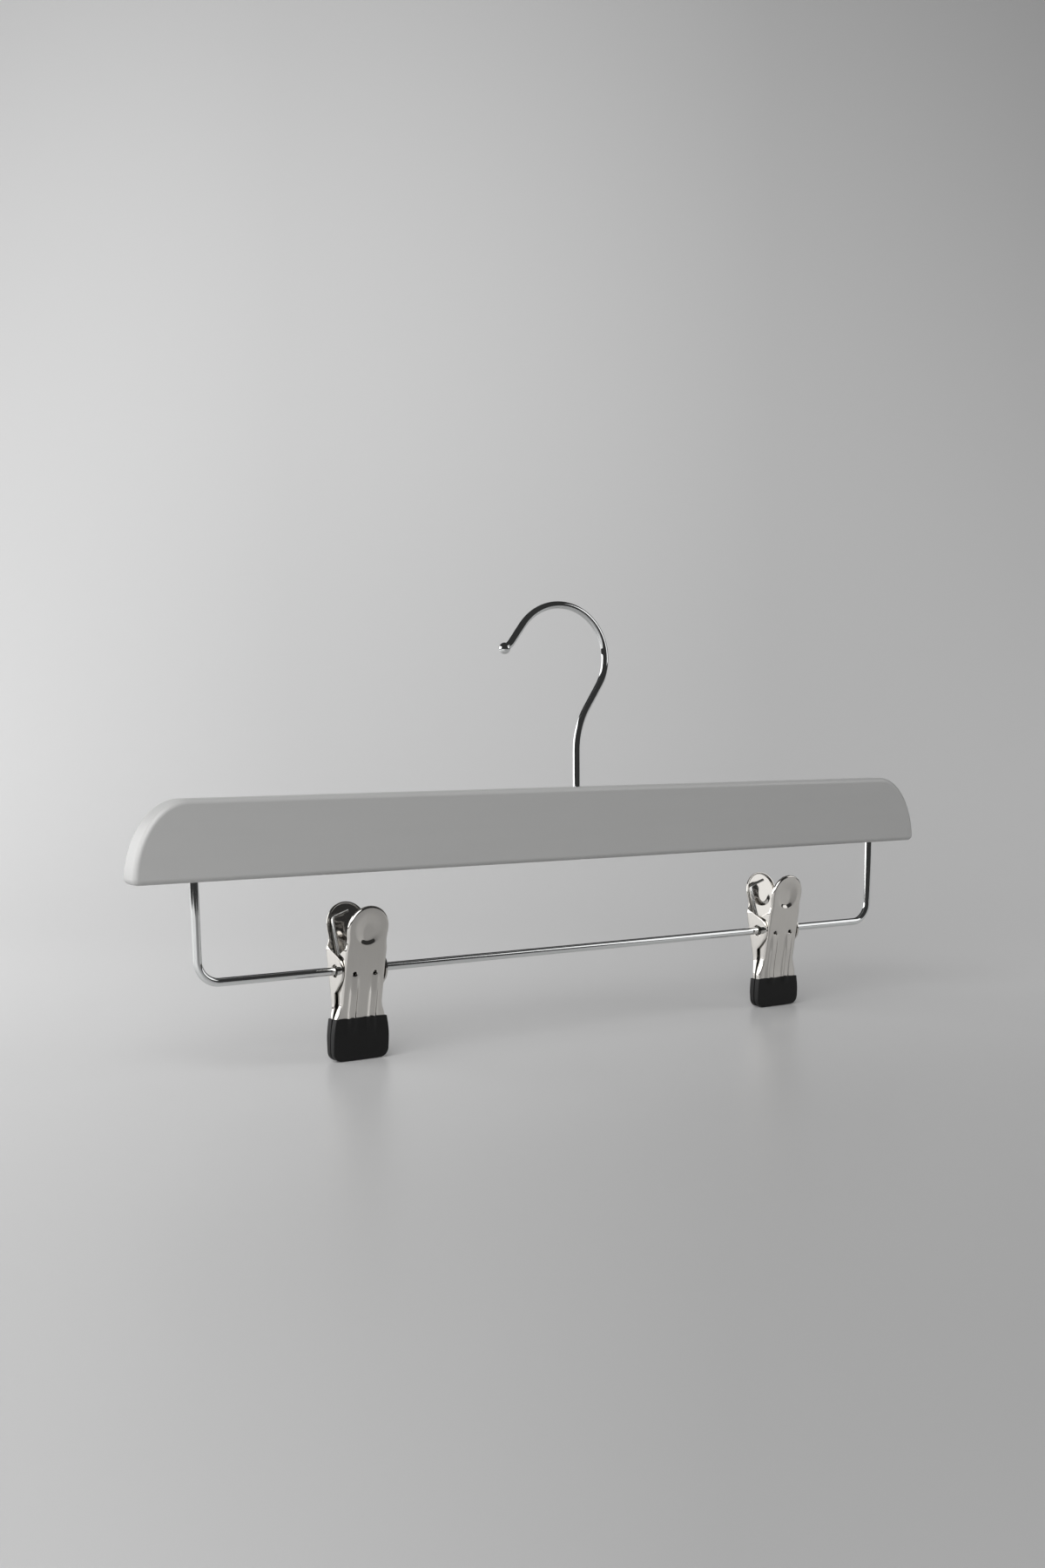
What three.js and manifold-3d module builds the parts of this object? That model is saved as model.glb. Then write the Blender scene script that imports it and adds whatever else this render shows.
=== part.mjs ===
// Clip hanger: a painted wooden beam on a swivelling wire hook, with a wire bar
// under it that carries two sprung sheet-metal clips with dipped black tips.
// Millimetres, +Z up, +X along the beam. The origin lies on the swivel axis,
// where that axis meets the underside of the hook's crown.
import * as THREE from 'three';
import { mergeVertices } from 'three/addons/utils/BufferGeometryUtils.js';
import Module from 'manifold-3d';

const wasm = await Module();
wasm.setup();

// Clearances
const fitGap = 0.3;
const earGap = 0.3;

// Beam
const beamLength = 360;
const beamHeight = 27.5;
const beamThickness = 10;
const beamEndRun = 19.5;
const beamEdgeRadius = 1.8;
const beamCornerEase = 0.4;

// Hook: one wire bent in an upright plane through the swivel axis
const hookWire = 2.8;
const hookRestTurn = -6;
const hookShankHeight = 13.87;
const hookNeckRadius = 30;
const hookLean = 32;
const hookRise = 9.9;
const hookCrownRadius = 20;
const hookCrownWrap = 176;
const hookFall = 7.6;
const hookFlickRadius = 6;
const hookFlickTurn = 21.5;
const hookFlickRun = 1.5;
const hookBall = 4.4;

// Fixing of the hook, hidden in a counterbore under the beam
const washerDiameter = 7;
const washerThickness = 0.8;
const nutAcrossFlats = 5.5;
const nutHeight = 2.4;
const shankTail = 0.8;
const shankRecess = 3.5;

// Bar: one wire bent to a wide U, its legs set in sockets in the beam
const barWire = 3;
const barDrop = 34;
const legSpacing = 314;
const legLean = 2;
const barCornerRadius = 8;
const legSocketDepth = 15;

// Clips: where each stands along the bar at rest
const leftClipPlace = -95.6;
const rightClipPlace = 101.8;

// Jaw stamping: heights from the bar's axis, reach from the clip's middle plane
const sheet = 0.7;
const handleHeight = 23;
const handleReach = 10.1;
const gripBendDrop = 16;
const gripBendReach = 2.4;
const jawDrop = 30.7;
const gripEndReach = 1.5;
const flangeGap = 0.4;
const rimDepth = 1.2;
const rimFootHeight = 8.2;
const rearEarMargin = 2.8;
const frontEarMargin = 1.8;
const earReturnDrop = 8;
const handleWidth = 16;
const neckWidth = 15.4;
const neckHeight = 10.5;
const earStraightHeight = 6.8;
const earWidth = 16.2;
const flareStartDrop = 11;
const flareWidth = 19.4;
const gripWidth = 20.4;
const gripCorner = 2.5;

// Pressed details of the jaw
const dishDiameter = 11.6;
const dishDepth = 0.8;
const ribSpacing = 8;
const ribWidth = 3.2;
const ribHeight = 0.5;
const dentDrop = 0.8;
const dentDiameter = 2.2;
const dentDepth = 0.45;

// Hollow pivot that holds the jaws together and runs on the bar
const pivotWall = 0.5;

// Spring: a wire coil round the pivot with a leg inside each handle
const springWire = 1.1;
const springPitch = 1.75;
const springTurns = 5;
const springLegHeight = 17.6;
const springSplay = 1.4;
const springToeRise = 2.5;
const springToeLength = 6;
const springToeDip = 1.2;
const springSeatGap = 0.4;

// Dipped tips: each clip was dipped to a depth of its own
const leftTipHeight = 14.8;
const rightTipHeight = 11.7;
const tipSkin = 0.5;
const tipCorner = 3;

// Facets
const cornerSteps = 4;
const wireSides = 10;
const bendStep = 9;
const holeSides = 20;
const arcSteps = 8;
const edgeSteps = 3;
const curlSteps = 8;
const curlSides = 5;

// Values that follow from the driving dimensions
const rad = THREE.MathUtils.degToRad;
const hookRadius = hookWire / 2;
const barRadius = barWire / 2;
const pivotBore = barRadius + fitGap;
const pivotRadius = pivotBore + pivotWall;
const earHole = pivotRadius + fitGap;
const frontEar = { half: earWidth / 2, lobe: earHole + frontEarMargin };
const rearEar = { half: earWidth / 2 + earGap + sheet, lobe: earHole + rearEarMargin };
const pivotHalf = rearEar.half;
const coilRadius = pivotRadius + springSeatGap + springWire / 2;
const platePoints = [
  [gripEndReach, -jawDrop],
  [gripBendReach, -gripBendDrop],
  [handleReach, handleHeight],
];
const plateLean = Math.atan2(handleReach - gripBendReach, handleHeight + gripBendDrop);
const tipEnd = -jawDrop - fitGap - tipSkin;

const hookStations = bentPath([
  ['run', hookShankHeight],
  ['turn', hookNeckRadius, hookLean],
  ['run', hookRise],
  ['turn', hookCrownRadius, -hookCrownWrap],
  ['run', hookFall],
  ['turn', hookFlickRadius, hookFlickTurn],
  ['run', hookFlickRun],
]);
const crownHeight = hookUnderside();
const beamTop = -crownHeight;
const beamBottom = beamTop - beamHeight;
const barHeight = beamBottom - barDrop;
const fixingDepth = 3 * fitGap + washerThickness + nutHeight + shankTail + shankRecess;
const fixingRoof = beamBottom + fixingDepth;

// Points of a wire bent in a plane, from straight runs and round turns.
// It starts at (0, 0) heading up, and a positive turn leans it to the right.
function bentPath(moves) {
  const points = [[0, 0]];
  let heading = 0;
  const step = (length) => {
    const [u, v] = points[points.length - 1];
    points.push([u + length * Math.sin(heading), v + length * Math.cos(heading)]);
  };
  for (const [kind, size, degrees] of moves) {
    if (kind === 'run') {
      step(size);
      continue;
    }
    const steps = Math.max(edgeSteps, Math.round(Math.abs(degrees) / bendStep));
    const swing = rad(degrees) / steps;
    for (let i = 0; i < steps; i += 1) {
      heading += swing / 2;
      step(2 * size * Math.sin(Math.abs(swing) / 2));
      heading += swing / 2;
    }
  }
  return points;
}

// Height above the beam at which the swivel axis meets the underside of the crown
function hookUnderside() {
  const lean = rad(hookLean);
  const out = hookNeckRadius * (1 - Math.cos(lean)) + hookRise * Math.sin(lean);
  const up = hookShankHeight + hookNeckRadius * Math.sin(lean) + hookRise * Math.cos(lean);
  const centreOut = out - hookCrownRadius * Math.cos(lean);
  const centreUp = up + hookCrownRadius * Math.sin(lean);
  const inner = hookCrownRadius - hookRadius;
  return centreUp + Math.sqrt(inner ** 2 - centreOut ** 2);
}

// A curve that visits the given stations at equal steps of its parameter
class StationCurve extends THREE.Curve {
  constructor(stations) {
    super();
    this.stations = stations;
  }

  getPointAt(t) {
    return this.stations[Math.round(t * (this.stations.length - 1))].clone();
  }

  getTangentAt(t) {
    const last = this.stations.length - 1;
    const i = Math.round(t * last);
    const before = this.stations[Math.max(0, i - 1)];
    const after = this.stations[Math.min(last, i + 1)];
    const here = this.stations[i];
    const into = i > 0 ? here.clone().sub(before).normalize() : new THREE.Vector3();
    const out = i < last ? after.clone().sub(here).normalize() : new THREE.Vector3();
    return into.add(out).normalize();
  }
}

function ring(radius, sides) {
  const points = [];
  for (let i = 0; i < sides; i += 1) {
    const angle = (2 * Math.PI * i) / sides;
    points.push(new THREE.Vector2(radius * Math.cos(angle), radius * Math.sin(angle)));
  }
  return points;
}

function wireAlong(stations, diameter, sides) {
  return new THREE.ExtrudeGeometry(new THREE.Shape(ring(diameter / 2, sides)), {
    steps: stations.length - 1,
    extrudePath: new StationCurve(stations),
  });
}

function solid(geometry) {
  const bare = geometry.clone();
  bare.deleteAttribute('normal');
  bare.deleteAttribute('uv');
  const merged = mergeVertices(bare, 1e-5);
  return new wasm.Manifold(new wasm.Mesh({
    numProp: 3,
    vertProperties: new Float32Array(merged.attributes.position.array),
    triVerts: new Uint32Array(merged.index.array),
  }));
}

function geometryOf(body) {
  const mesh = body.getMesh();
  const geometry = new THREE.BufferGeometry();
  geometry.setAttribute('position', new THREE.BufferAttribute(mesh.vertProperties, 3));
  geometry.setIndex(new THREE.BufferAttribute(mesh.triVerts, 1));
  geometry.computeVertexNormals();
  return geometry;
}

function shapeOf(points) {
  return new THREE.Shape(points.map(([a, b]) => new THREE.Vector2(a, b)));
}

// A prism from an outline in X and Z, centred on the XZ plane
function frontPrism(shape, depth) {
  const geometry = new THREE.ExtrudeGeometry(shape, {
    depth, bevelEnabled: false, curveSegments: arcSteps,
  });
  geometry.translate(0, 0, -depth / 2);
  geometry.rotateX(Math.PI / 2);
  return solid(geometry);
}

// A prism from an outline in Y and Z, centred at x
function sidePrism(shape, width, x = 0) {
  const geometry = new THREE.ExtrudeGeometry(shape, {
    depth: width, bevelEnabled: false, curveSegments: arcSteps,
  });
  geometry.translate(0, 0, -width / 2);
  geometry.applyMatrix4(new THREE.Matrix4().makeBasis(
    new THREE.Vector3(0, 1, 0),
    new THREE.Vector3(0, 0, 1),
    new THREE.Vector3(1, 0, 0),
  ));
  geometry.translate(x, 0, 0);
  return solid(geometry);
}

// A cylinder from one point to another
function rod(from, to, radius, sides) {
  const along = to.clone().sub(from);
  const geometry = new THREE.CylinderGeometry(radius, radius, along.length(), sides);
  const turn = new THREE.Quaternion().setFromUnitVectors(
    new THREE.Vector3(0, 1, 0),
    along.clone().normalize(),
  );
  geometry.applyQuaternion(turn);
  const middle = from.clone().add(to).multiplyScalar(0.5);
  geometry.translate(middle.x, middle.y, middle.z);
  return solid(geometry);
}

function uprightRod(x, low, high, radius, sides = holeSides) {
  return rod(new THREE.Vector3(x, 0, low), new THREE.Vector3(x, 0, high), radius, sides);
}

function ball(centre, radius, steps) {
  const geometry = new THREE.SphereGeometry(radius, 2 * steps, steps);
  geometry.rotateX(Math.PI / 2);
  geometry.translate(centre.x, centre.y, centre.z);
  return solid(geometry);
}

// A ring turned round the X axis from a closed profile of radius and place
function turned(profile, sides) {
  const points = [...profile, profile[0]].map(([r, x]) => new THREE.Vector2(r, x));
  const geometry = new THREE.LatheGeometry(points, sides);
  geometry.rotateZ(-Math.PI / 2);
  return solid(geometry);
}

// Beam
function beamBody() {
  const half = beamLength / 2;
  const corner = beamEdgeRadius + beamCornerEase;
  const start = Math.asin(corner / beamHeight);
  const endCentre = half - beamEndRun;
  const cornerX = endCentre + beamEndRun * Math.cos(start) - corner;
  const cornerZ = beamBottom + corner;
  const quarter = Math.PI / 2;
  const shape = new THREE.Shape();
  shape.absarc(cornerX, cornerZ, corner, -quarter, 0);
  shape.absellipse(endCentre, beamBottom, beamEndRun, beamHeight, start, quarter);
  shape.absellipse(-endCentre, beamBottom, beamEndRun, beamHeight, quarter, Math.PI - start);
  shape.absarc(-cornerX, cornerZ, corner, Math.PI, 3 * quarter);
  const depth = beamThickness - 2 * beamEdgeRadius;
  const geometry = new THREE.ExtrudeGeometry(shape, {
    depth,
    curveSegments: arcSteps,
    bevelThickness: beamEdgeRadius,
    bevelSize: beamEdgeRadius,
    bevelOffset: -beamEdgeRadius,
    bevelSegments: edgeSteps,
  });
  geometry.translate(0, 0, -depth / 2);
  geometry.rotateX(Math.PI / 2);
  let body = solid(geometry);
  const past = beamHeight;
  body = body.subtract(uprightRod(0, fixingRoof - past, beamTop + past, hookRadius + fitGap));
  const pocket = washerDiameter / 2 + fitGap;
  body = body.subtract(uprightRod(0, beamBottom - past, fixingRoof, pocket));
  for (const side of [-1, 1]) {
    const [foot, head] = legLine(side, legSocketDepth + fitGap);
    const outside = foot.clone().sub(head).add(foot);
    body = body.subtract(rod(outside, head, barRadius + fitGap, holeSides));
  }
  return body;
}

// The axis of one leg: its place at the beam's underside and its end in the socket
function legLine(side, depth) {
  const lean = rad(legLean);
  const foot = new THREE.Vector3(side * legSpacing / 2, 0, beamBottom);
  const up = new THREE.Vector3(side * Math.sin(lean), 0, Math.cos(lean));
  return [foot, foot.clone().addScaledVector(up, depth)];
}

// Hook with its ball end and the shank that runs down through the beam
function hookBody() {
  const turn = rad(hookRestTurn);
  const place = ([u, v]) => new THREE.Vector3(
    u * Math.cos(turn),
    u * Math.sin(turn),
    v - crownHeight,
  );
  const foot = new THREE.Vector3(0, 0, beamBottom + shankRecess);
  const stations = [foot, ...hookStations.slice(1).map(place)];
  const wire = solid(wireAlong(stations, hookWire, wireSides));
  return wire.add(ball(stations[stations.length - 1], hookBall / 2, arcSteps));
}

function washerBody() {
  const top = fixingRoof - fitGap;
  const disc = uprightRod(0, top - washerThickness, top, washerDiameter / 2);
  return disc.subtract(uprightRod(0, top - beamHeight, top + beamHeight, hookRadius + fitGap));
}

function nutBody() {
  const top = fixingRoof - 2 * fitGap - washerThickness;
  const corner = nutAcrossFlats / 2 / Math.cos(Math.PI / 6);
  const hexagon = uprightRod(0, top - nutHeight, top, corner, 6);
  return hexagon.subtract(uprightRod(0, top - beamHeight, top + beamHeight, hookRadius + fitGap));
}

// Bar
function barBody() {
  const [leftFoot, leftEnd] = legLine(-1, legSocketDepth);
  const sag = barDrop / Math.cos(rad(legLean));
  const turn = 90 - legLean;
  const setback = barCornerRadius * Math.tan(rad(turn) / 2);
  const down = leftFoot.clone().sub(leftEnd).normalize();
  const corner = leftFoot.clone().addScaledVector(down, sag);
  const halfRun = -corner.x - setback;
  const right = [new THREE.Vector3(halfRun, 0, corner.z)];
  const steps = arcSteps;
  for (let i = 1; i <= steps; i += 1) {
    const angle = rad((turn * i) / steps);
    right.push(new THREE.Vector3(
      halfRun + barCornerRadius * Math.sin(angle),
      0,
      corner.z + barCornerRadius * (1 - Math.cos(angle)),
    ));
  }
  right.push(new THREE.Vector3(-leftEnd.x, 0, leftEnd.z));
  const left = right.map((p) => new THREE.Vector3(-p.x, 0, p.z)).reverse();
  return solid(wireAlong([...left, ...right], barWire, wireSides));
}

// Reach of a jaw's outer face at a height above the bar
function plateReach(z) {
  let i = 1;
  while (i < platePoints.length - 1 && z > platePoints[i][1]) {
    i += 1;
  }
  const [lowReach, low] = platePoints[i - 1];
  const [highReach, high] = platePoints[i];
  return lowReach + ((highReach - lowReach) * (z - low)) / (high - low);
}

// Angle at which a line from a point touches a circle round the bar
function touchAngle(y, z, radius, side) {
  return Math.atan2(z, y) + side * Math.acos(radius / Math.hypot(y, z));
}

// Side outline of a jaw with its rim and ear, grown all round by a clearance
function jawSide(ear, grow) {
  const lobe = ear.lobe + grow;
  const edge = flangeGap - grow;
  const rim = (z) => plateReach(z) - rimDepth - grow;
  const shape = new THREE.Shape();
  shape.moveTo(gripEndReach + grow, -jawDrop - grow);
  shape.lineTo(gripBendReach + grow, -gripBendDrop);
  shape.lineTo(handleReach + grow, handleHeight);
  shape.lineTo(rim(handleHeight), handleHeight);
  shape.lineTo(rim(rimFootHeight), rimFootHeight);
  const from = touchAngle(rim(rimFootHeight), rimFootHeight, lobe, 1);
  const to = touchAngle(edge, -earReturnDrop, lobe, -1) + 2 * Math.PI;
  shape.absarc(0, 0, lobe, from, to);
  shape.lineTo(edge, -earReturnDrop);
  shape.lineTo(edge, -jawDrop - grow);
  return shape;
}

// Everything on the clip's side of a jaw's inner face
function jawInside(grow) {
  const past = handleWidth;
  const inner = platePoints.map(([reach, z]) => [reach - sheet - grow, z]);
  const [endReach] = inner[0];
  const [topReach] = inner[inner.length - 1];
  return shapeOf([
    [-past, -jawDrop - past],
    [endReach, -jawDrop - past],
    ...inner,
    [topReach, handleHeight + past],
    [-past, handleHeight + past],
  ]);
}

// Face outline of a jaw, drawn in from its edge by an inset
function jawFace(ear, inset, corner) {
  const top = handleWidth / 2 - inset;
  const centre = handleHeight - handleWidth / 2;
  const low = -jawDrop + (inset > 0 ? -gripCorner : inset);
  const half = gripWidth / 2 - inset;
  const side = [];
  for (let i = 0; i < cornerSteps; i += 1) {
    const angle = (Math.PI / 2) * (1 - i / cornerSteps);
    side.push([half - corner * (1 - Math.cos(angle)), low + corner * (1 - Math.sin(angle))]);
  }
  side.push(
    [half, low + corner],
    [half, -gripBendDrop - gripCorner],
    [flareWidth / 2 - inset, -gripBendDrop],
    [ear.half - inset, -flareStartDrop],
    [ear.half - inset, earStraightHeight],
    [neckWidth / 2 - inset, neckHeight],
  );
  const shape = shapeOf(side);
  shape.absarc(0, centre, top, 0, Math.PI);
  side.reverse().forEach(([x, z]) => shape.lineTo(-x, z));
  return shape;
}

// The folded sheet of a jaw, thickened all round by a clearance
function jawSheet(ear, grow) {
  const wide = 3 * gripWidth;
  const outer = sidePrism(jawSide(ear, grow), wide)
    .intersect(frontPrism(jawFace(ear, -grow, gripCorner), wide));
  const inner = sidePrism(jawInside(grow), wide)
    .intersect(frontPrism(jawFace(ear, sheet + grow, fitGap), wide));
  return outer.subtract(inner);
}

// Thumb dish: a round hollow outside and the bulge that it presses inside
function pressDish(body) {
  const height = handleHeight - handleWidth / 2;
  const radius = (dishDiameter ** 2 / 4 + dishDepth ** 2) / (2 * dishDepth);
  const out = radius - dishDepth;
  const centre = new THREE.Vector3(
    0,
    plateReach(height) + out * Math.cos(plateLean),
    height - out * Math.sin(plateLean),
  );
  const inside = sidePrism(jawInside(-sheet / 2), dishDiameter + 4 * sheet);
  const bulge = ball(centre, radius + sheet, 4 * arcSteps).intersect(inside);
  return body.add(bulge).subtract(ball(centre, radius, 4 * arcSteps));
}

// Stiffening ribs down to the tip, each with a dent at its head
function pressRibs(body, tipHeight) {
  const top = -dentDrop - dentDiameter;
  const foot = tipEnd + tipHeight + fitGap;
  const face = (z, out) => [plateReach(z) + out, z];
  const rib = shapeOf([
    face(foot, -sheet / 2),
    face(foot, ribHeight),
    face(top, ribHeight),
    face(top, -sheet / 2),
  ]);
  const dentRadius = (dentDiameter ** 2 / 4 + dentDepth ** 2) / (2 * dentDepth);
  let pressed = body;
  for (const x of [-ribSpacing / 2, ribSpacing / 2]) {
    const reach = plateReach(-dentDrop) - dentDepth + dentRadius;
    pressed = pressed.add(sidePrism(rib, ribWidth, x));
    pressed = pressed.subtract(ball(new THREE.Vector3(x, reach, -dentDrop), dentRadius, arcSteps));
  }
  return pressed;
}

function jawBody(ear, tipHeight) {
  const holes = rod(
    new THREE.Vector3(-gripWidth, 0, 0),
    new THREE.Vector3(gripWidth, 0, 0),
    earHole,
    holeSides,
  );
  return pressRibs(pressDish(jawSheet(ear, 0).subtract(holes)), tipHeight);
}

// Dipped tip: a skin round the end of a jaw, up to the depth of the dip
function tipBody(ear, tipHeight) {
  const skin = fitGap + tipSkin;
  const top = tipEnd + tipHeight;
  const wide = 3 * gripWidth;
  const seam = fitGap / 2;
  const bends = platePoints.slice(1).filter(([, z]) => z < top);
  const side = shapeOf([
    [seam, tipEnd],
    [gripEndReach + skin, tipEnd],
    ...bends.map(([reach, z]) => [reach + skin, z]),
    [plateReach(top) + skin, top],
    [seam, top],
  ]);
  const face = jawFace(ear, -skin, tipCorner);
  const block = sidePrism(side, wide).intersect(frontPrism(face, wide));
  return block.subtract(jawSheet(ear, fitGap));
}

function pivotBody() {
  return turned([
    [pivotBore, -pivotHalf],
    [pivotRadius, -pivotHalf],
    [pivotRadius, pivotHalf],
    [pivotBore, pivotHalf],
  ], holeSides);
}

// Centre line of a spring: down the rear leg from its bent toe, round the pivot
// and up the front leg, which is the rear one turned half round
function springStations() {
  const seat = sheet + springSeatGap + springWire / 2;
  const legReach = plateReach(springLegHeight) - seat;
  const toeReach = legReach - springToeDip;
  const leave = touchAngle(legReach, springLegHeight, coilRadius, -1);
  const sweep = 2 * Math.PI * springTurns + Math.PI + 2 * leave;
  const steps = Math.round((curlSteps * sweep) / (2 * Math.PI));
  const halfCoil = (springPitch * sweep) / (4 * Math.PI);
  const legX = halfCoil + springSplay;
  const leg = [
    new THREE.Vector3(-legX + springToeLength, toeReach, springLegHeight + springToeRise),
    new THREE.Vector3(-legX + springWire, legReach, springLegHeight + springWire / 2),
    new THREE.Vector3(-legX + springWire / 3, legReach, springLegHeight),
    new THREE.Vector3(-legX, legReach - springWire / 3, springLegHeight - springWire),
  ];
  const coil = [];
  for (let i = 0; i <= steps; i += 1) {
    const angle = leave - (sweep * i) / steps;
    coil.push(new THREE.Vector3(
      -halfCoil + (2 * halfCoil * i) / steps,
      coilRadius * Math.cos(angle),
      coilRadius * Math.sin(angle),
    ));
  }
  const otherLeg = leg.map((p) => new THREE.Vector3(-p.x, -p.y, p.z)).reverse();
  return [...leg, ...coil, ...otherLeg];
}

// Least gap between turns: nearest stations that lie over half a turn apart
function springSelfGap(stations) {
  let least = Infinity;
  for (let i = 0; i < stations.length; i += 1) {
    for (let j = i + curlSteps / 2 + 1; j < stations.length; j += 1) {
      least = Math.min(least, stations[i].distanceTo(stations[j]));
    }
  }
  return least - springWire;
}

const springLine = springStations();
console.log(`spring: least gap to itself ${springSelfGap(springLine).toFixed(2)} mm`);

// Materials
function finish(color, roughness, metalness) {
  return new THREE.MeshStandardMaterial({ color, roughness, metalness });
}
const greyPaint = finish(0xa9a9a6, 0.4, 0);
const chrome = finish(0xdadcdd, 0.08, 1);
const nickel = finish(0xc4c0ba, 0.22, 1);
const zinc = finish(0xb4b6b8, 0.4, 1);
const springSteel = finish(0xb9babb, 0.25, 1);
const blackDip = finish(0x151515, 0.45, 0);

function piece(name, geometry, material) {
  const mesh = new THREE.Mesh(geometry, material);
  mesh.name = name;
  return mesh;
}

// A clip on the bar, with the front jaw and tip turned half round from the rear ones
function clip(side, place, tipHeight) {
  const group = new THREE.Group();
  group.position.set(place, 0, barHeight);
  const rearJaw = geometryOf(jawBody(rearEar, tipHeight));
  const rearTip = geometryOf(tipBody(rearEar, tipHeight));
  const frontJaw = geometryOf(jawBody(frontEar, tipHeight)).rotateZ(Math.PI);
  const frontTip = geometryOf(tipBody(frontEar, tipHeight)).rotateZ(Math.PI);
  group.add(
    piece(`${side}_pivot_tube`, geometryOf(pivotBody()), nickel),
    piece(`${side}_rear_jaw`, rearJaw, nickel),
    piece(`${side}_rear_tip`, rearTip, blackDip),
    piece(`${side}_front_jaw`, frontJaw, nickel),
    piece(`${side}_front_tip`, frontTip, blackDip),
    piece(`${side}_spring`, wireAlong(springLine, springWire, curlSides), springSteel),
  );
  return group;
}

const hanger = new THREE.Group();
hanger.add(
  piece('beam', geometryOf(beamBody()), greyPaint),
  piece('bar_wire', geometryOf(barBody()), chrome),
  piece('hook', geometryOf(hookBody()), chrome),
  piece('hook_washer', geometryOf(washerBody()), zinc),
  piece('hook_nut', geometryOf(nutBody()), zinc),
  clip('left', leftClipPlace, leftTipHeight),
  clip('right', rightClipPlace, rightTipHeight),
);

export default hanger;
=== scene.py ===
"""Clip hanger: a grey beam on a swivelling wire hook, with two sprung clips on a wire bar."""
import math

import bmesh
import bpy
from bpy.props import FloatProperty, FloatVectorProperty, PointerProperty
from bpy.types import Operator, Panel, PropertyGroup
from mathutils import Matrix, Vector


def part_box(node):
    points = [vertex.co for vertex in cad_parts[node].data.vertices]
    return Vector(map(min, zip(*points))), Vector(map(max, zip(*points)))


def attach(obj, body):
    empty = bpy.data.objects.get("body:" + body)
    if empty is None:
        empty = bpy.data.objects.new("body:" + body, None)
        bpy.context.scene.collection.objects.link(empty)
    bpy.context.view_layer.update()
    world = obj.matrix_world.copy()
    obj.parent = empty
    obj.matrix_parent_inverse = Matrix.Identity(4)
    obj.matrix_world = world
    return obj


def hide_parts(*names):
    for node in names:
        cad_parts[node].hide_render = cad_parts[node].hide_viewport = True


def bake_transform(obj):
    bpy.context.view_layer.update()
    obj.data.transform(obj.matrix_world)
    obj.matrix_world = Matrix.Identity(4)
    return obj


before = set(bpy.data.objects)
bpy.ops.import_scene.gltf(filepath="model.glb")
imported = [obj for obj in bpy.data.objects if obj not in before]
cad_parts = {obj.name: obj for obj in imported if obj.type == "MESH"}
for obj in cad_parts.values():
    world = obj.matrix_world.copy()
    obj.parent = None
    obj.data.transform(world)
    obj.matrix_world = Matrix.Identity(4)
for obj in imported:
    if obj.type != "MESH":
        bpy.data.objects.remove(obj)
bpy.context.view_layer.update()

bl_info = {
    "name": "Clip Hanger",
    "version": (1, 0, 0),
    "blender": (4, 5, 0),
    "location": "View3D > Sidebar > Hanger",
    "description": "Models a clip hanger piece by piece and sets it on a studio stage",
    "category": "Object",
}

# A millimetre, how nearly two places agree, and how close welded vertices lie, in metres
MM = 0.001
SLACK = 1e-5
TOUCHING = 1e-7
X = Vector((1, 0, 0))
Y = Vector((0, 1, 0))
Z = Vector((0, 0, 1))


# Sizes, finishes and stage
def length(name, millimetres):
    return FloatProperty(
        name=name, default=millimetres * MM, unit="LENGTH", subtype="DISTANCE", precision=5,
    )


def angle(name, degrees):
    return FloatProperty(name=name, default=math.radians(degrees), unit="ROTATION", subtype="ANGLE")


def colour(name, value):
    return FloatVectorProperty(name=name, default=value, subtype="COLOR", size=3, min=0, max=1)


def power(name, watts):
    return FloatProperty(name=name, default=watts, unit="POWER")


class BeamSizes(PropertyGroup):
    """Sizes of the beam and of the fixing under it."""

    length: length("Length of the beam at its underside", 360)
    height: length("Height of the beam", 27.5)
    thickness: length("Thickness of the beam", 10)
    end_run: length("Length of the curved part of each end", 19.5)
    edge: length("Rounding of the front and back edges", 1.8)
    corner: length("Rounding of the lower corners", 2.2)
    shank_hole: length("Radius of the shank's hole", 1.7)
    pocket: length("Radius of the counterbore for the nut", 3.8)
    pocket_depth: length("Depth of the counterbore", 8.4)
    socket: length("Radius of the sockets for the legs", 1.8)
    socket_depth: length("Depth of the sockets", 15.3)
    washer: length("Radius of the washer under the shank", 3.5)
    nut: length("Width of the nut over its flats", 5.5)


class WireSizes(PropertyGroup):
    """Sizes of the hook and of the bar."""

    hook: length("Diameter of the hook's wire", 2.8)
    shank: length("Straight run above the beam", 13.87)
    neck: length("Radius of the bend above the shank", 30)
    lean: angle("Turn of the bend above the shank", 32)
    rise: length("Straight run up to the crown", 9.9)
    crown: length("Radius of the crown over the rail", 20)
    wrap: angle("Turn of the crown", 176)
    fall: length("Straight run after the crown", 7.6)
    flick: length("Radius of the bend before the ball", 6)
    flick_turn: angle("Turn of the bend before the ball", 21.5)
    flick_run: length("Straight run into the ball", 1.5)
    ball: length("Diameter of the ball at the hook's end", 4.4)
    rest_turn: angle("Turn of the hook on the beam at rest", -6)
    shank_recess: length("Foot of the shank above the beam's underside", 3.5)
    bar: length("Diameter of the bar's wire", 3)
    drop: length("Bar's axis below the beam", 34)
    legs: length("Distance between the legs at the beam", 314)
    leg_lean: angle("Lean of the legs", 2)
    bar_corner: length("Radius of the bar's bends", 8)
    leg_depth: length("Length of the legs in the beam", 15)


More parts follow.
